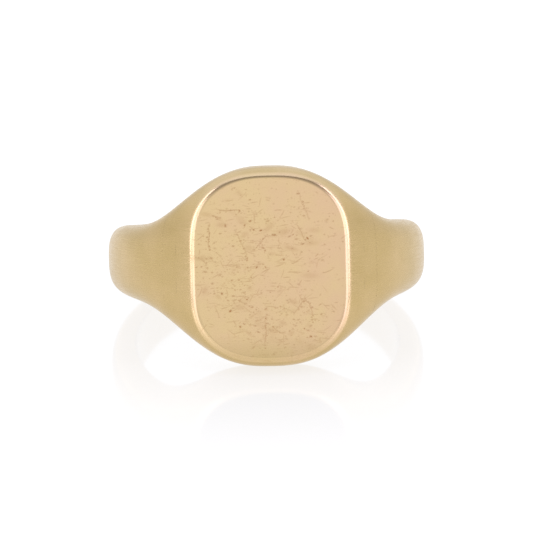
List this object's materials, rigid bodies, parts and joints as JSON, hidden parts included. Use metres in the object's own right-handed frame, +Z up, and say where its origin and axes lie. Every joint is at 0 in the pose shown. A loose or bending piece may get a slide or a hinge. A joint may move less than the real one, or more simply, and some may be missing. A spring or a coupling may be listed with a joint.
{
  "type": "signet ring",
  "caption": "Plain cushion-shaped signet ring in yellow gold with a flat blank table, tapering shoulders and a D-section shank, lying on its side.",
  "frame": {"origin": "bottom centre of the ring's box, on the surface it lies on", "axes": "+Z up from that surface, -Y the way the table faces, +X to the wearer's side of the table; the finger axis leans 15.0 degrees from +Z towards +Y, because the ring lies on its side on the head's lower edge and the back of the hoop"},
  "size_m": [0.0206, 0.0222, 0.0125],
  "materials": {
    "body_gold": "satin",
    "face_gold": "polished, scratched",
    "solder_gold": "satin"
  },
  "bodies": {
    "root": {"face_plate": "face_gold", "face_solder": "solder_gold", "head_block": "body_gold", "left_shoulder": "body_gold", "right_shoulder": "body_gold", "back_shank": "body_gold", "left_head_solder": "solder_gold", "right_head_solder": "solder_gold", "left_shank_solder": "solder_gold", "right_shank_solder": "solder_gold"}
  },
  "joints": []
}
